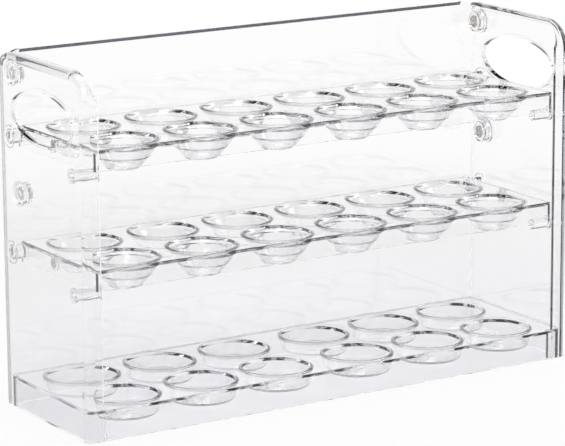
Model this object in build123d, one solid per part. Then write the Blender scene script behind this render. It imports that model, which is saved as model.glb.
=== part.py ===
import os
from math import cos, radians, sin, sqrt

from build123d import *

# A holder for eggs with three tiers, moulded in clear plastic. Two flanged side panels, a back
# panel and a base tray make the frame. The middle and top trays turn on pins near their back
# edges, so the front of each lifts and folds back until magnets hold it against two studs.
# Millimetres. X runs to the right, Y to the back and Z up from the floor. The origin is the
# middle of the footprint, on the floor.

# Frame
width = 320.0
depth = 95.0
height = 201.0
headroom = 41.7
panel_wall = 2.5
fit_gap = 0.05
back_corner = 9.0
back_bevel = 2.0

# Side panels
post_width = 9.7
top_flange_width = 6.0
front_corner = 17.0
rear_corner = 9.0
edge_round = 4.0
inner_round = 3.0
flange_blend_low = 21.0
flange_blend_high = 5.0
flange_blend_round = 14.0

# Handle holes
handle_length = 71.0
handle_height = 29.0
handle_drop = 30.8
handle_rim_width = 1.6
handle_rim_height = 1.0

# Base tray
base_level = 17.1
base_plate = 2.0
base_skirt = 2.2
base_end_margin = 7.05
base_centre_gap = 5.5
base_mouth_radius = 19.7
base_well_taper = 2.4
base_well_wall_depth = 8.0
base_well_depth = 10.0
base_well_wall = 1.6
base_rim_height = 1.0

# Folding trays; the bottom tier is taller than the middle one by bottom_tier_extra
bottom_tier_extra = 11.4
tray_side_gap = 6.3
tray_front_gap = 0.7
tray_rear_gap = 2.3
tray_plate = 2.0
tray_skirt = 2.0
tray_skirt_depth = 11.5
tray_corner = 3.0
tray_top_round = 0.8
tray_end_margin = 3.9

# Egg cups of the folding trays, from the mouth down
cup_mouth_radius = 19.3
cup_lip_depth = 2.2
cup_lip_taper = 0.9
cup_step_inset = 1.0
cup_step_drop = 0.7
cup_waist_radius = 13.6
cup_waist_depth = 8.2
cup_floor_radius = 8.6
cup_floor_dish = 0.8
cup_depth = 15.0
cup_wall = 1.6
rim_width = 1.6
rim_height = 0.6
rim_round = 0.3
least_cup_gap = 1.0

# Pivot pins
pivot_inset = 4.7
pivot_drop = 4.8
pivot_head_radius = 6.4
pivot_head_height = 1.0
pivot_shaft_radius = 4.35
pivot_pin_radius = 2.2
pivot_pin_clearance = 0.08
pivot_tray_gap = 0.3
pivot_pin_reach = 2.0

# Latch studs and magnets
top_flip_angle = 87.5
middle_flip_angle = 77.0
latch_ring_radius = 7.0
latch_ring_height = 1.2
latch_radius = 6.1
latch_flange_gap = 1.7
latch_seat_gap = 0.1
latch_tray_gap = 0.4
latch_magnet_radius = 3.7
tray_magnet_radius = 3.0
magnet_thickness = 2.0
magnet_clearance = 0.05
magnet_boss_wall = 1.2

# Rest studs
rest_inset = 12.5
rest_ring_radius = 4.1
rest_ring_height = 1.2
rest_radius = 3.2
rest_reach = 4.7
rest_gap = 0.2

# Spigots that hold the studs in the side panels
spigot_radius = 2.5
spigot_length = 1.4
rest_spigot_radius = 1.8

# Small roundings of studs and magnets, and the overrun of cutting solids
small_round = 0.35
overrun = 10.0

# Places worked out from the sizes above
left = -width / 2
front = -depth / 2
rear = depth / 2
top_level = height - headroom
middle_level = (base_level + top_level + bottom_tier_extra) / 2
wall_face = left + panel_wall
base_corner = inner_round
tray_left = wall_face + tray_side_gap
tray_front = front + panel_wall + tray_front_gap
tray_rear = rear - panel_wall - tray_rear_gap
pivot_y = tray_rear - pivot_inset
latch_top_level = height - panel_wall - latch_flange_gap - latch_ring_radius
latch_reach = (latch_top_level - top_level + pivot_drop) / sin(radians(top_flip_angle))
tray_magnet_y = pivot_y - latch_reach
rest_y = tray_front + rest_inset
LOW = (Align.MIN, Align.MIN, Align.MIN)


def block(x_low, x_high, y_low, y_high, z_low, z_high):
    """A box given by its limits."""
    size = Box(x_high - x_low, y_high - y_low, z_high - z_low, align=LOW)
    return Pos(x_low, y_low, z_low) * size


def bar(x_low, x_high, y, z, radius):
    """A round bar along X, about the line through y and z."""
    return extrude(Plane.YZ.offset(x_low) * Pos(y, z) * Circle(radius), x_high - x_low)


def turned(face):
    """A solid turned about Z from a face that is drawn as radius and level."""
    return revolve(Plane.XZ * face, Axis.Z)


def ends_rounded(piece, level, radius):
    """The piece with the round edges that lie in the plane x = level rounded over."""
    edges = piece.edges().filter_by(GeomType.CIRCLE)
    edges = [edge for edge in edges if abs(edge.center().X - level) < small_round / 10]
    return fillet(edges, radius)


def centres(x_low, x_high, y_low, y_high, pitch, middle_gap):
    """The places of wells spread evenly over a tray, with a gap between the two halves."""
    columns = 2 * int((x_high - x_low - middle_gap) / 2 // pitch)
    rows = int((y_high - y_low) // pitch)
    x_step = (x_high - x_low - middle_gap) / columns
    y_step = (y_high - y_low) / rows
    places = []
    for row in range(rows):
        for column in range(columns):
            shift = middle_gap if column >= columns / 2 else 0.0
            x = x_low + (column + 0.5) * x_step + shift
            places.append(Pos(x, y_low + (row + 0.5) * y_step, 0))
    return places


def flange_block(x_low, y_low, z_high, corner, edge):
    """A block with its front top corner rounded, and its outer edge rounded along front and top.

    It runs past the panel at the right, at the back and below.
    """
    solid = block(x_low, left + post_width + overrun, y_low, rear + overrun, -overrun, z_high)
    crown = solid.edges().filter_by(Axis.X).group_by(Axis.Y)[0].sort_by(Axis.Z)[-1]
    solid = fillet(crown, corner)
    loop = [item for item in solid.edges() if abs(item.center().X - x_low) < fit_gap]
    inner_loop = [item for item in loop if item.center().Y < rear and item.center().Z > 0]
    return fillet(inner_loop, edge)


def top_trim():
    """What comes off the flange so that it narrows from the post to the top."""
    outer = left + post_width
    inner = left + top_flange_width
    line = Polyline(
        (inner, height + overrun),
        (inner, height - flange_blend_high),
        (outer, height - flange_blend_low),
        (outer + 2 * overrun, height - flange_blend_low),
        (outer + 2 * overrun, height + overrun),
        close=True,
    )
    face = make_face(line)
    bends = [corner for corner in face.vertices() if corner.Y < height and corner.X < outer + overrun]
    face = fillet(bends, flange_blend_round)
    return extrude(Plane.XZ * face, rear + overrun, both=True)


def left_side_panel():
    """The left panel with its inward flanges, handle hole, pivot holes and stud sockets.

    The seat of a latch stud's collar is cut into the round under the top flange.
    """
    outer = flange_block(left, front, height, front_corner, edge_round)
    cavity_corner = front_corner - panel_wall
    cavity = flange_block(wall_face, front + panel_wall, height - panel_wall, cavity_corner, inner_round)
    limits = block(left, left + post_width, front, rear, 0, height)
    crown = limits.edges().filter_by(Axis.X).group_by(Axis.Y)[-1].sort_by(Axis.Z)[-1]
    limits = fillet(crown, rear_corner)
    panel = (outer & limits) - cavity - top_trim()
    handle = Pos(0, height - handle_drop) * Ellipse(handle_length / 2, handle_height / 2)
    rim = Pos(0, height - handle_drop) * Ellipse(
        handle_length / 2 + handle_rim_width, handle_height / 2 + handle_rim_width
    )
    panel += extrude(Plane.YZ.offset(wall_face) * rim, handle_rim_height)
    panel -= extrude(Plane.YZ.offset(left) * handle, overrun)
    socket = wall_face - spigot_length - fit_gap
    for level in (middle_level, top_level):
        z = level - pivot_drop
        panel -= bar(left, wall_face, pivot_y, z, pivot_shaft_radius + fit_gap)
        panel -= bar(left, left + pivot_head_height + fit_gap, pivot_y, z, pivot_head_radius + fit_gap)
        panel -= bar(socket, wall_face, rest_y, rest_level(level), rest_spigot_radius + fit_gap)
    collar_end = wall_face + fit_gap + latch_ring_height + latch_seat_gap
    for y, z in latch_places():
        panel -= bar(socket, wall_face, y, z, spigot_radius + fit_gap)
        panel -= bar(wall_face, collar_end, y, z, latch_ring_radius + latch_seat_gap)
    return panel


def rest_level(level):
    """The height of the rest stud's axis under a tray with its top at this level."""
    return level - tray_skirt_depth - rest_gap - rest_radius


def latch_places():
    """The y and z of the latch studs: middle, then top."""
    places = []
    for level, angle in ((middle_level, middle_flip_angle), (top_level, top_flip_angle)):
        y = pivot_y - latch_reach * cos(radians(angle))
        z = level - pivot_drop + latch_reach * sin(radians(angle))
        places.append((y, z))
    return places


def back_panel():
    """The flat back, between the side panels: top corners rounded, top edge bevelled behind."""
    half = width / 2 - panel_wall - fit_gap
    panel = block(-half, half, rear - panel_wall, rear, 0, height)
    crowns = panel.edges().filter_by(Axis.Y).group_by(Axis.Z)[-1]
    panel = fillet(crowns, back_corner)
    cutter_side = back_bevel * sqrt(2)
    cutter = Rot(X=45) * Box(2 * (half - back_corner), cutter_side, cutter_side)
    return panel - Pos(0, rear, height) * cutter


def base_plan(inset):
    """The base's outline, set back behind the two posts, with each side moved in by inset."""
    half = width / 2 - panel_wall - fit_gap - inset
    y_low = front + panel_wall + fit_gap + inset
    y_high = rear - panel_wall - fit_gap - inset
    body = Pos(0, (y_low + y_high) / 2) * RectangleRounded(2 * half, y_high - y_low, base_corner)
    nose_half = width / 2 - post_width - fit_gap - inset
    nose_depth = panel_wall + fit_gap + base_corner
    nose = Pos(0, front + inset + nose_depth / 2) * Rectangle(2 * nose_half, nose_depth)
    return body + nose


def base_tray():
    """The fixed bottom tray: a plate on a skirt, with shallow wells that hang below the plate."""
    tray = extrude(base_plan(0), base_level)
    tray -= extrude(base_plan(base_skirt), base_level - base_plate)
    low_radius = base_mouth_radius - base_well_taper
    hollow = make_face(
        Polyline(
            (0, base_rim_height),
            (base_mouth_radius, base_rim_height),
            (base_mouth_radius, 0),
            (low_radius, -base_well_wall_depth),
            (0, -base_well_depth),
            close=True,
        )
    )
    cup = offset(hollow, base_well_wall) & half_plane(base_rim_height)
    cup = fillet(rim_corner(cup), rim_round)
    half = width / 2 - panel_wall - fit_gap - base_end_margin
    pitch = 2 * (base_mouth_radius + base_well_wall) + least_cup_gap
    y_high = rear - panel_wall - fit_gap
    places = centres(-half, half, front, y_high, pitch, base_centre_gap)
    return with_wells(tray, turned(cup), turned(hollow), places, base_level)


def half_plane(level):
    """The part of a drawn section that lies off the axis and under a level."""
    reach = width
    return Pos(reach / 2, level - reach / 2) * Rectangle(reach, reach)


def rim_corner(section):
    """The outer top corner of a cup's section."""
    return section.vertices().group_by(Axis.Y)[-1].sort_by(Axis.X)[-1]


def with_wells(tray, cup, hollow, places, level):
    """The tray with a cup at each place, hollowed from the top."""
    lift = Pos(0, 0, level)
    tray += [place * lift * cup for place in places]
    tray -= [place * lift * hollow for place in places]
    return tray


def egg_cup():
    """The outer and the hollow solid of one cup, with the tray's top at level 0."""
    step_radius = cup_mouth_radius - cup_lip_taper
    hollow = make_face(
        Polyline(
            (0, rim_height),
            (cup_mouth_radius, rim_height),
            (cup_mouth_radius, 0),
            (step_radius, -cup_lip_depth),
            (step_radius - cup_step_inset, -cup_lip_depth - cup_step_drop),
            (cup_waist_radius, -cup_waist_depth),
            (cup_waist_radius - cup_step_inset, -cup_waist_depth - cup_step_drop),
            (cup_floor_radius, cup_floor_dish - cup_depth),
            (0, -cup_depth),
            close=True,
        )
    )
    cup = offset(hollow, cup_wall) & half_plane(0)
    rim_radius = cup_mouth_radius + rim_width
    cup += Pos(rim_radius / 2, rim_height / 2) * Rectangle(rim_radius, rim_height)
    cup = fillet(rim_corner(cup), rim_round)
    return turned(cup), turned(hollow)


def folding_tray(level):
    """One folding tray: plate, skirt, cups, pin holes, and pockets for its two magnets."""
    low = level - tray_skirt_depth
    tray = block(tray_left, -tray_left, tray_front, tray_rear, low, level)
    tray = fillet(tray.edges().filter_by(Axis.Z), tray_corner)
    tray = fillet(tray.edges().group_by(Axis.Z)[-1], tray_top_round)
    inside = block(
        tray_left + tray_skirt,
        -tray_left - tray_skirt,
        tray_front + tray_skirt,
        tray_rear - tray_skirt,
        low,
        level - tray_plate,
    )
    tray -= fillet(inside.edges().filter_by(Axis.Z), tray_corner - tray_skirt)
    pivot_z = level - pivot_drop
    skirt_face = tray_left + tray_skirt
    pocket = magnet_thickness + magnet_clearance
    boss_radius = tray_magnet_radius + magnet_boss_wall
    boss = bar(skirt_face, tray_left + pocket + magnet_boss_wall, tray_magnet_y, pivot_z, boss_radius)
    hole_end = skirt_face + pivot_pin_reach
    hole = bar(tray_left, hole_end, pivot_y, pivot_z, pivot_pin_radius + pivot_pin_clearance)
    seat_radius = tray_magnet_radius + magnet_clearance
    seat = bar(tray_left, tray_left + pocket, tray_magnet_y, pivot_z, seat_radius)
    tray += [boss, boss.mirror(Plane.YZ)]
    tray -= [hole, hole.mirror(Plane.YZ), seat, seat.mirror(Plane.YZ)]
    cup, hollow = egg_cup()
    x_low = tray_left + tray_end_margin
    pitch = 2 * (cup_mouth_radius + rim_width) + least_cup_gap
    places = centres(x_low, -x_low, tray_front, tray_rear, pitch, 0.0)
    return with_wells(tray, cup, hollow, places, level)


def left_pivot(level):
    """A stepped pin: flush head, shaft through the wall, and a thin end in the tray's skirt."""
    z = level - pivot_drop
    shoulder = tray_left - pivot_tray_gap
    tip = tray_left + tray_skirt + pivot_pin_reach
    head = bar(left, left + pivot_head_height, pivot_y, z, pivot_head_radius)
    head = ends_rounded(head, left, small_round)
    neck = left + pivot_head_height
    shaft = ends_rounded(bar(neck, shoulder, pivot_y, z, pivot_shaft_radius), shoulder, small_round)
    pin = ends_rounded(bar(neck, tip, pivot_y, z, pivot_pin_radius), tip, small_round)
    return head + shaft + pin


def left_latch(y, z):
    """A round stud with a collar at the wall and a magnet pocket in its end."""
    end = tray_left - latch_tray_gap
    seat = wall_face + fit_gap
    stud = ends_rounded(bar(seat, end, y, z, latch_radius), end, small_round)
    ring = bar(seat, seat + latch_ring_height, y, z, latch_ring_radius)
    ring = ends_rounded(ring, seat + latch_ring_height, small_round)
    spigot = bar(wall_face - spigot_length, seat, y, z, spigot_radius)
    pocket_start = end - magnet_thickness - magnet_clearance
    pocket = bar(pocket_start, end, y, z, latch_magnet_radius + magnet_clearance)
    return stud + ring + spigot - pocket


def left_latch_magnet(y, z):
    """The disc magnet in the end of a latch stud."""
    end = tray_left - latch_tray_gap
    disc = bar(end - magnet_thickness, end, y, z, latch_magnet_radius)
    return ends_rounded(disc, end, small_round)


def left_tray_magnet(level):
    """The disc magnet in a tray's side skirt."""
    start = tray_left + magnet_clearance / 2
    disc = bar(start, start + magnet_thickness, tray_magnet_y, level - pivot_drop, tray_magnet_radius)
    return ends_rounded(disc, start, small_round)


def left_rest(level):
    """The stud that a tray's side skirt lies on, near the front."""
    z = rest_level(level)
    seat = wall_face + fit_gap
    end = tray_left + tray_skirt + rest_reach
    stud = ends_rounded(bar(seat, end, rest_y, z, rest_radius), end, small_round)
    ring = bar(seat, seat + rest_ring_height, rest_y, z, rest_ring_radius)
    ring = ends_rounded(ring, seat + rest_ring_height, small_round)
    spigot = bar(wall_face - spigot_length, seat, rest_y, z, rest_spigot_radius)
    return stud + ring + spigot


def write(piece, name):
    export_step(piece, "parts/" + name + ".step")


def write_pair(piece, name):
    """Writes a left piece, and its mirror image on the right."""
    write(piece, name.format(side="left"))
    write(piece.mirror(Plane.YZ), name.format(side="right"))


def main():
    os.makedirs("parts", exist_ok=True)
    write(base_tray(), "base_tray")
    write(back_panel(), "back_panel")
    write_pair(left_side_panel(), "{side}_side_panel")
    levels = (("middle", middle_level), ("top", top_level))
    for (tier, level), (y, z) in zip(levels, latch_places()):
        write(folding_tray(level), tier + "_tray")
        write_pair(left_pivot(level), tier + "_pivot_{side}")
        write_pair(left_rest(level), tier + "_rest_{side}")
        write_pair(left_latch(y, z), tier + "_latch_{side}")
        write_pair(left_latch_magnet(y, z), tier + "_latch_magnet_{side}")
        write_pair(left_tray_magnet(level), tier + "_tray_magnet_{side}")
    print("height", height, "pivot y", pivot_y, "latch reach", latch_reach)


main()
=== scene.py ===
import bpy
import numpy as np
from mathutils import Matrix, Vector


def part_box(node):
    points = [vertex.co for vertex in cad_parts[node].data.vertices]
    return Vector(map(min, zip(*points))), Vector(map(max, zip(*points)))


bl_info = {
    "name": "Egg Holder Finishes",
    "version": (1, 0, 0),
    "blender": (4, 5, 0),
    "location": "View3D > Sidebar > Egg Holder",
    "description": "Dresses a clear moulded egg holder and its folding trays, and sets its studio",
    "category": "Object",
}

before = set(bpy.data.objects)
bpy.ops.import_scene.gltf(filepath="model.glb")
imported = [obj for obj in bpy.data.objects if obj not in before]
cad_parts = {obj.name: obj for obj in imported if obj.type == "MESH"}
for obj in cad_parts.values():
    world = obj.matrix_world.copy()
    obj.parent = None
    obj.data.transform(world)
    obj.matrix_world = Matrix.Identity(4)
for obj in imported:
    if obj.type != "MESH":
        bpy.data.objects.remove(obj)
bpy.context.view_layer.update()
TIERS = ("middle", "top")
SIDES = ("left", "right")
HELD_KINDS = ("pivot", "latch", "rest")

# The image in pixels, the camera's sensor in millimetres, and how far the camera sees in metres
IMAGE_WIDTH = 565
IMAGE_HEIGHT = 446
SENSOR_WIDTH = 36.0
VIEW_REACH = 50.0

# How often light may cross or leave the plastic, and how often it may be mirrored
CLEAR_BOUNCES = 32
MIRROR_BOUNCES = 12

# The faces this close to the back panel's two ends, in metres, are the ends
END_MARGIN = 0.00005

# How far the floor lies under the object, in metres
FLOOR_GAP = 0.0005

WHITE = (1.0, 1.0, 1.0, 1.0)

# The surroundings: how high a direction points, from 0 for level to 1 for straight up, and the
# light from there. The dark band stands for the unlit part of a studio, and gives the rounded
# edges their dark lines.
SKY = (
    (0.40, (1.0, 1.0, 1.0)),
    (0.46, (0.1, 0.1, 0.102)),
    (0.72, (0.08, 0.08, 0.0816)),
    (0.80, (0.8, 0.8, 0.816)),
    (1.00, (0.8, 0.8, 0.81)),
)

# Each soft lamp's place and size in metres, and its power in watts
LAMPS = {
    "key_lamp": ((-0.9, -1.0, 1.3), (0.9, 0.9), 8.0),
    "fill_lamp": ((1.3, -0.6, 0.9), (0.6, 1.0), 5.0),
    "top_lamp": ((0.0, 0.2, 1.6), (1.2, 0.5), 5.0),
}
LAMP_AIM = (0.0, 0.0, 0.1)


class ClearPlasticSettings(bpy.types.PropertyGroup):
    """Polystyrene, injection moulded in a polished tool."""

    tint: bpy.props.StringProperty(
        name="Tint",
        description="What a deep layer of the plastic lets through, as sRGB hex",
        default="#59617c",
    )
    shadow_tint: bpy.props.StringProperty(
        name="Shadow Tint",
        description="What one face of the plastic lets through to its shadow, as sRGB hex",
        default="#f9f9fa",
    )
    panel_density: bpy.props.FloatProperty(
        name="Panel Density",
        description="How much light the back and side panels take up on its way, per metre",
        default=9.0,
        min=0.0,
    )
    base_density: bpy.props.FloatProperty(
        name="Base Density",
        description="How much light the base takes up on its way, per metre",
        default=13.0,
        min=0.0,
    )
    tray_density: bpy.props.FloatProperty(
        name="Tray Density",
        description="How much light the folding trays take up on its way, per metre",
        default=11.0,
        min=0.0,
    )
    ior: bpy.props.FloatProperty(
        name="IOR",
        description="How strongly the plastic bends light; polystyrene is 1.59",
        default=1.59,
        min=1.0,
        max=2.0,
    )
    roughness: bpy.props.FloatProperty(
        name="Roughness",
        description="Haze of the polished faces",
        subtype="FACTOR",
        default=0.012,
        min=0.0,
        max=1.0,
    )
    roughness_spread: bpy.props.FloatProperty(
        name="Roughness Spread",
        description="How far the haze strays from place to place, as a share of it",
        subtype="FACTOR",
        default=0.5,
        min=0.0,
        max=1.0,
    )
    end_haze: bpy.props.FloatProperty(
        name="End Haze",
        description="How matt the back panel's ends are, where they were cut",
        subtype="FACTOR",
        default=0.7,
        min=0.0,
        max=1.0,
    )
    wave_width: bpy.props.FloatProperty(
        name="Wave Width",
        description="Width of the slight waves in the moulded faces",
        unit="LENGTH",
        default=0.022,
    )
    wave_height: bpy.props.FloatProperty(
        name="Wave Height",
        description="Height of the slight waves in the moulded faces",
        unit="LENGTH",
        default=0.00003,
    )


class MagnetSettings(bpy.types.PropertyGroup):
    """Disc magnets with a dull nickel plate."""

    dull_colour: bpy.props.StringProperty(
        name="Dull Colour",
        description="Colour of the plate's dull specks, as sRGB hex",
        default="#877e78",
    )
    bright_colour: bpy.props.StringProperty(
        name="Bright Colour",
        description="Colour of the plate's bright specks, as sRGB hex",
        default="#f0eae4",
    )
    speck_size: bpy.props.FloatProperty(
        name="Speck Size",
        description="Size of the specks in the plate, coarser than real so that they show",
        unit="LENGTH",
        default=0.0011,
    )
    roughness: bpy.props.FloatProperty(
        name="Roughness",
        description="Roughness of the dull nickel plate",
        subtype="FACTOR",
        default=0.42,
        min=0.0,
        max=1.0,
    )
    roughness_spread: bpy.props.FloatProperty(
        name="Roughness Spread",
        description="How far the roughness strays from speck to speck",
        subtype="FACTOR",
        default=0.08,
        min=0.0,
        max=1.0,
    )
    speck_softness: bpy.props.FloatProperty(
        name="Speck Softness",
        description="How much of the noise's range lies between a dull and a bright speck",
        subtype="FACTOR",
        default=0.3,
        min=0.0,
        max=1.0,
    )


class StudioSettings(bpy.types.PropertyGroup):
    """The camera and the white floor."""

    camera_place: bpy.props.FloatVectorProperty(
        name="Camera Place",
        description="Where the camera stands",
        subtype="TRANSLATION",
        unit="LENGTH",
        size=3,
        default=(-0.87747, -1.39839, 0.47708),
    )
    camera_ahead: bpy.props.FloatVectorProperty(
        name="Camera Direction",
        description="Where the camera looks",
        subtype="DIRECTION",
        size=3,
        default=(0.51683, 0.82754, -0.21922),
    )
    camera_right: bpy.props.FloatVectorProperty(
        name="Camera Right",
        description="Which way the image's right side points",
        subtype="DIRECTION",
        size=3,
        default=(0.84737, -0.53096, -0.00658),
    )
    focal_pixels: bpy.props.FloatProperty(
        name="Focal Length In Pixels",
        description="Focal length for an image 565 pixels wide",
        subtype="PIXEL",
        default=2969.17,
    )
    centre_x: bpy.props.FloatProperty(
        name="Centre X",
        description="Where the optical axis meets the image, in pixels from its left side",
        subtype="PIXEL",
        default=286.84,
    )
    centre_y: bpy.props.FloatProperty(
        name="Centre Y",
        description="Where the optical axis meets the image, in pixels from its top",
        subtype="PIXEL",
        default=199.39,
    )
    floor_size: bpy.props.FloatProperty(
        name="Floor Size",
        description="Side of the white floor",
        unit="LENGTH",
        default=14.0,
    )
    paper_colour: bpy.props.StringProperty(
        name="Paper Colour",
        description="Colour of the sweep paper, as sRGB hex",
        default="#f3f3f3",
    )
    paper_near: bpy.props.FloatProperty(
        name="Paper Near",
        description="Distance up to which the floor is lit paper",
        unit="LENGTH",
        default=0.25,
    )
    paper_far: bpy.props.FloatProperty(
        name="Paper Far",
        description="Distance from which the floor is pure white",
        unit="LENGTH",
        default=0.7,
    )
    paper_glare: bpy.props.FloatProperty(
        name="Paper Glare",
        description="How far the camera sees the lit paper washed out to white",
        subtype="FACTOR",
        default=0.8,
        min=0.0,
        max=1.0,
    )


def settings():
    """The scene's settings for this add-on."""
    return bpy.context.scene.egg_holder


def linear(hex_colour):
    """Linear red, green and blue of an sRGB hex colour."""
    parts = np.array([int(hex_colour[i : i + 2], 16) for i in (1, 3, 5)]) / 255
    low = parts / 12.92
    high = ((parts + 0.055) / 1.055) ** 2.4
    return tuple(float(v) for v in np.where(parts <= 0.04045, low, high))


def opaque(hex_colour):
    """The same colour with full cover, as a node's colour input takes it."""
    return (*linear(hex_colour), 1.0)


def add_node(tree, kind, properties=None, inputs=None, links=None):
    """Adds a node, sets its properties and inputs, and links outputs to its inputs."""
    node = tree.nodes.new(kind)
    for name, value in (properties or {}).items():
        setattr(node, name, value)
    for name, value in (inputs or {}).items():
        node.inputs[name].default_value = value
    for name, source in (links or {}).items():
        tree.links.new(source, node.inputs[name])
    return node


def new_material(name):
    """An empty node material."""
    material = bpy.data.materials.new(name)
    material.use_nodes = True
    material.node_tree.nodes.clear()
    return material


def dress(node_name, material):
    """Gives a CAD node its finish."""
    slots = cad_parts[node_name].data.materials
    slots.clear()
    slots.append(material)


def clearness(tree, place, end, haze):
    """How clear a face is: wholly, except that haze dims the two ends where they face outside."""
    split = add_node(tree, "ShaderNodeSeparateXYZ", links={"Vector": place.outputs["Object"]})
    across = add_node(
        tree, "ShaderNodeMath", {"operation": "ABSOLUTE"}, links={0: split.outputs["X"]}
    )
    past = add_node(
        tree,
        "ShaderNodeMath",
        {"operation": "GREATER_THAN"},
        inputs={1: end},
        links={0: across.outputs[0]},
    )
    face = add_node(tree, "ShaderNodeNewGeometry")
    outer = add_node(
        tree,
        "ShaderNodeMath",
        {"operation": "SUBTRACT"},
        links={0: past.outputs[0], 1: face.outputs["Backfacing"]},
    )
    return add_node(
        tree,
        "ShaderNodeMapRange",
        inputs={"To Min": 1.0, "To Max": 1.0 - haze},
        links={"Value": outer.outputs[0]},
    )


def clear_polystyrene(name, density, end=None):
    """Clear polystyrene moulded in a polished tool.

    A wall is nearly clear and bright, and an edge is dark, because the light that leaves it has
    come a long way inside the plastic. The faces wave a little where the plastic shrank. A piece
    that was cut to length has its two ends further than end from the middle: they are matt, and
    look pale from outside.
    """
    plastic = settings().plastic
    material = new_material(name)
    tree = material.node_tree
    place = add_node(tree, "ShaderNodeTexCoord")
    waves = add_node(
        tree,
        "ShaderNodeTexNoise",
        inputs={"Scale": 1 / plastic.wave_width, "Detail": 1.0},
        links={"Vector": place.outputs["Object"]},
    )
    relief = add_node(
        tree,
        "ShaderNodeBump",
        inputs={"Strength": 1.0, "Distance": plastic.wave_height},
        links={"Height": waves.outputs["Fac"]},
    )
    haze = add_node(
        tree,
        "ShaderNodeMapRange",
        inputs={
            "To Min": plastic.roughness * (1.0 - plastic.roughness_spread),
            "To Max": plastic.roughness * (1.0 + plastic.roughness_spread),
        },
        links={"Value": waves.outputs["Fac"]},
    )
    body = add_node(
        tree,
        "ShaderNodeBsdfPrincipled",
        inputs={"Base Color": WHITE, "IOR": plastic.ior, "Transmission Weight": 1.0},
        links={"Roughness": haze.outputs[0], "Normal": relief.outputs[0]},
    )
    if end is not None:
        clear = clearness(tree, place, end, plastic.end_haze)
        tree.links.new(clear.outputs[0], body.inputs["Transmission Weight"])
    shade = add_node(
        tree, "ShaderNodeBsdfTransparent", inputs={"Color": opaque(plastic.shadow_tint)}
    )
    path = add_node(tree, "ShaderNodeLightPath")
    mixed = add_node(
        tree,
        "ShaderNodeMixShader",
        links={0: path.outputs["Is Shadow Ray"], 1: body.outputs[0], 2: shade.outputs[0]},
    )
    depth = add_node(
        tree,
        "ShaderNodeVolumeAbsorption",
        inputs={"Color": opaque(plastic.tint), "Density": density},
    )
    add_node(
        tree,
        "ShaderNodeOutputMaterial",
        links={"Surface": mixed.outputs[0], "Volume": depth.outputs[0]},
    )
    return material


def dull_nickel():
    """Nickel plate on a sintered magnet: grey, softly mirroring, mottled.

    The plate's real specks are too fine to show, so they are drawn as coarse as they need to be.
    """
    magnet = settings().magnet
    material = new_material("dull_nickel_plate")
    tree = material.node_tree
    place = add_node(tree, "ShaderNodeTexCoord")
    mottle = add_node(
        tree,
        "ShaderNodeTexNoise",
        inputs={"Scale": 1 / magnet.speck_size, "Detail": 3.0},
        links={"Vector": place.outputs["Object"]},
    )
    rough = add_node(
        tree,
        "ShaderNodeMapRange",
        inputs={
            "To Min": magnet.roughness - magnet.roughness_spread,
            "To Max": magnet.roughness + magnet.roughness_spread,
        },
        links={"Value": mottle.outputs["Fac"]},
    )
    plate = add_node(tree, "ShaderNodeValToRGB", links={"Fac": mottle.outputs["Fac"]})
    dull, bright = plate.color_ramp.elements
    dull.position = (1.0 - magnet.speck_softness) / 2
    bright.position = (1.0 + magnet.speck_softness) / 2
    dull.color = opaque(magnet.dull_colour)
    bright.color = opaque(magnet.bright_colour)
    body = add_node(
        tree,
        "ShaderNodeBsdfPrincipled",
        inputs={"Metallic": 1.0},
        links={"Base Color": plate.outputs["Color"], "Roughness": rough.outputs[0]},
    )
    add_node(tree, "ShaderNodeOutputMaterial", links={"Surface": body.outputs[0]})
    return material


class EGGHOLDER_OT_frame(bpy.types.Operator):
    """Finishes the base, the back, the side panels and the pins and studs that they hold."""

    bl_idname = "egg_holder.frame"
    bl_label = "Frame"

    def execute(self, context):
        plastic = settings().plastic
        panel = clear_polystyrene("clear_polystyrene_panels", plastic.panel_density)
        base = clear_polystyrene("clear_polystyrene_base", plastic.base_density)
        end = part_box("back_panel")[1][0] - END_MARGIN
        back = clear_polystyrene("clear_polystyrene_back", plastic.panel_density, end)
        dress("base_tray", base)
        dress("back_panel", back)
        for side in SIDES:
            dress(f"{side}_side_panel", panel)
            for tier in TIERS:
                for kind in HELD_KINDS:
                    dress(f"{tier}_{kind}_{side}", panel)
        return {"FINISHED"}


class EGGHOLDER_OT_trays(bpy.types.Operator):
    """Finishes the two folding trays."""

    bl_idname = "egg_holder.trays"
    bl_label = "Folding Trays"

    def execute(self, context):
        plastic = settings().plastic
        tray = clear_polystyrene("clear_polystyrene_trays", plastic.tray_density)
        for tier in TIERS:
            dress(f"{tier}_tray", tray)
        return {"FINISHED"}


class EGGHOLDER_OT_magnets(bpy.types.Operator):
    """Finishes the magnets in the studs and in the trays."""

    bl_idname = "egg_holder.magnets"
    bl_label = "Magnets"

    def execute(self, context):
        nickel = dull_nickel()
        for tier in TIERS:
            for side in SIDES:
                dress(f"{tier}_latch_magnet_{side}", nickel)
                dress(f"{tier}_tray_magnet_{side}", nickel)
        return {"FINISHED"}


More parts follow.
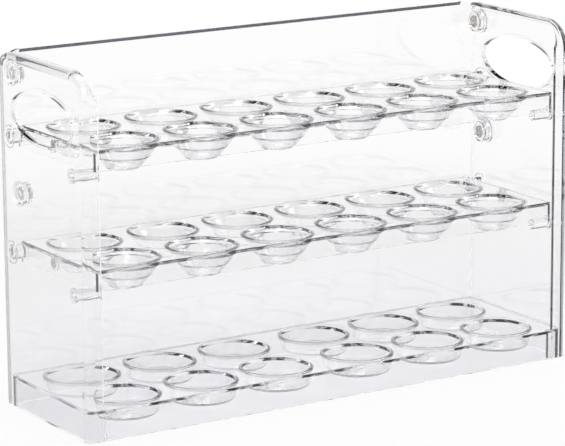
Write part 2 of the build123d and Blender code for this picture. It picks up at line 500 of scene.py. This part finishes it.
def floor_paint():
    """White sweep paper, which runs up to pure white a short way from the object.

    Near the object it is lit paper, which takes the object's shadow. The camera sees it almost
    as white as the paper further out.
    """
    studio = settings().studio
    material = new_material("white_sweep_paper")
    tree = material.node_tree
    place = add_node(tree, "ShaderNodeTexCoord")
    reach = add_node(
        tree, "ShaderNodeVectorMath", {"operation": "LENGTH"}, links={0: place.outputs["Object"]}
    )
    away = add_node(
        tree,
        "ShaderNodeMapRange",
        {"interpolation_type": "SMOOTHSTEP"},
        inputs={"From Min": studio.paper_near, "From Max": studio.paper_far},
        links={"Value": reach.outputs["Value"]},
    )
    path = add_node(tree, "ShaderNodeLightPath")
    seen = add_node(
        tree,
        "ShaderNodeMath",
        {"operation": "MULTIPLY"},
        inputs={1: studio.paper_glare},
        links={0: path.outputs["Is Camera Ray"]},
    )
    share = add_node(
        tree,
        "ShaderNodeMath",
        {"operation": "MAXIMUM"},
        links={0: away.outputs[0], 1: seen.outputs[0]},
    )
    paper = add_node(
        tree,
        "ShaderNodeBsdfDiffuse",
        inputs={"Color": opaque(studio.paper_colour), "Roughness": 1.0},
    )
    white = add_node(tree, "ShaderNodeEmission", inputs={"Color": WHITE, "Strength": 1.0})
    mixed = add_node(
        tree,
        "ShaderNodeMixShader",
        links={0: share.outputs[0], 1: paper.outputs[0], 2: white.outputs[0]},
    )
    add_node(tree, "ShaderNodeOutputMaterial", links={"Surface": mixed.outputs[0]})
    return material


def soft_lamp(name, place, size, power):
    """Adds a rectangular soft lamp that the camera doesn't see."""
    data = bpy.data.lights.new(name, "AREA")
    data.shape = "RECTANGLE"
    data.size, data.size_y = size
    data.energy = power
    lamp = bpy.data.objects.new(name, data)
    bpy.context.scene.collection.objects.link(lamp)
    toward = Vector(LAMP_AIM) - Vector(place)
    turn = toward.to_track_quat("-Z", "Y").to_matrix().to_4x4()
    lamp.matrix_world = Matrix.Translation(place) @ turn
    lamp.visible_camera = False


def surroundings():
    """The studio around the object: the camera sees white, and the object sees the sky's bands."""
    world = bpy.data.worlds.new("studio")
    world.use_nodes = True
    tree = world.node_tree
    tree.nodes.clear()
    place = add_node(tree, "ShaderNodeTexCoord")
    split = add_node(tree, "ShaderNodeSeparateXYZ", links={"Vector": place.outputs["Generated"]})
    ramp = add_node(tree, "ShaderNodeValToRGB", links={"Fac": split.outputs["Z"]})
    stops = ramp.color_ramp.elements
    stops[0].position, stops[1].position = SKY[0][0], SKY[-1][0]
    for height, light in SKY[1:-1]:
        stops.new(height)
    for stop, (height, light) in zip(stops, SKY):
        stop.color = (*light, 1.0)
    bands = add_node(
        tree,
        "ShaderNodeBackground",
        inputs={"Strength": 1.0},
        links={"Color": ramp.outputs["Color"]},
    )
    white = add_node(tree, "ShaderNodeBackground", inputs={"Color": WHITE, "Strength": 1.0})
    path = add_node(tree, "ShaderNodeLightPath")
    mixed = add_node(
        tree,
        "ShaderNodeMixShader",
        links={0: path.outputs["Is Camera Ray"], 1: bands.outputs[0], 2: white.outputs[0]},
    )
    add_node(tree, "ShaderNodeOutputWorld", links={"Surface": mixed.outputs[0]})
    return world


class EGGHOLDER_OT_studio(bpy.types.Operator):
    """Sets the white floor, the surroundings and the lamps."""

    bl_idname = "egg_holder.studio"
    bl_label = "Studio"

    def execute(self, context):
        half = settings().studio.floor_size / 2
        mesh = bpy.data.meshes.new("floor")
        corners = np.array([(-half, -half, 0), (half, -half, 0), (half, half, 0), (-half, half, 0)])
        mesh.from_pydata(corners.tolist(), [], [(0, 1, 2, 3)])
        floor = bpy.data.objects.new("floor", mesh)
        floor.location.z = -FLOOR_GAP
        mesh.materials.append(floor_paint())
        context.scene.collection.objects.link(floor)
        context.scene.world = surroundings()
        for name, (place, size, power) in LAMPS.items():
            soft_lamp(name, place, size, power)
        return {"FINISHED"}


class EGGHOLDER_OT_camera(bpy.types.Operator):
    """Sets the camera at the height and side from which the holder is seen, and its light paths."""

    bl_idname = "egg_holder.camera"
    bl_label = "Camera"

    def execute(self, context):
        studio = settings().studio
        data = bpy.data.cameras.new("camera")
        data.sensor_width = SENSOR_WIDTH
        data.lens = studio.focal_pixels * SENSOR_WIDTH / IMAGE_WIDTH
        data.shift_x = (IMAGE_WIDTH / 2 - studio.centre_x) / IMAGE_WIDTH
        data.shift_y = (studio.centre_y - IMAGE_HEIGHT / 2) / IMAGE_WIDTH
        data.clip_end = VIEW_REACH
        camera = bpy.data.objects.new("camera", data)
        context.scene.collection.objects.link(camera)
        ahead = Vector(studio.camera_ahead).normalized()
        right = Vector(studio.camera_right).normalized()
        up = right.cross(ahead).normalized()
        turn = Matrix((right, up, -ahead)).transposed()
        camera.matrix_world = Matrix.Translation(studio.camera_place) @ turn.to_4x4()
        context.scene.camera = camera
        context.scene.view_settings.view_transform = "Standard"
        cycles = context.scene.cycles
        cycles.max_bounces = CLEAR_BOUNCES
        cycles.transmission_bounces = CLEAR_BOUNCES
        cycles.transparent_max_bounces = CLEAR_BOUNCES
        cycles.glossy_bounces = MIRROR_BOUNCES
        return {"FINISHED"}


class EggHolderSettings(bpy.types.PropertyGroup):
    """All the settings of this add-on."""

    plastic: bpy.props.PointerProperty(type=ClearPlasticSettings)
    magnet: bpy.props.PointerProperty(type=MagnetSettings)
    studio: bpy.props.PointerProperty(type=StudioSettings)


class EGGHOLDER_PT_panel(bpy.types.Panel):
    """Lists the add-on's steps, and under them the settings of each group."""

    bl_idname = "EGGHOLDER_PT_panel"
    bl_label = "Egg Holder"
    bl_space_type = "VIEW_3D"
    bl_region_type = "UI"
    bl_category = "Egg Holder"

    def draw(self, context):
        for step in STEPS:
            self.layout.operator(step.bl_idname)
        for group in EggHolderSettings.__annotations__:
            values = getattr(settings(), group)
            column = self.layout.box().column()
            for name in type(values).__annotations__:
                column.prop(values, name)


STEPS = (
    EGGHOLDER_OT_frame,
    EGGHOLDER_OT_trays,
    EGGHOLDER_OT_magnets,
    EGGHOLDER_OT_studio,
    EGGHOLDER_OT_camera,
)
GROUPS = (ClearPlasticSettings, MagnetSettings, StudioSettings, EggHolderSettings)
CLASSES = GROUPS + STEPS + (EGGHOLDER_PT_panel,)


def register():
    """Adds the classes and the scene's settings to Blender."""
    for item in CLASSES:
        bpy.utils.register_class(item)
    bpy.types.Scene.egg_holder = bpy.props.PointerProperty(type=EggHolderSettings)


def unregister():
    """Takes them out again."""
    del bpy.types.Scene.egg_holder
    for item in reversed(CLASSES):
        bpy.utils.unregister_class(item)


def main():
    """Runs every step in order."""
    register()
    for step in STEPS:
        group, name = step.bl_idname.split(".")
        getattr(getattr(bpy.ops, group), name)()


if __name__ == "__main__":
    main()
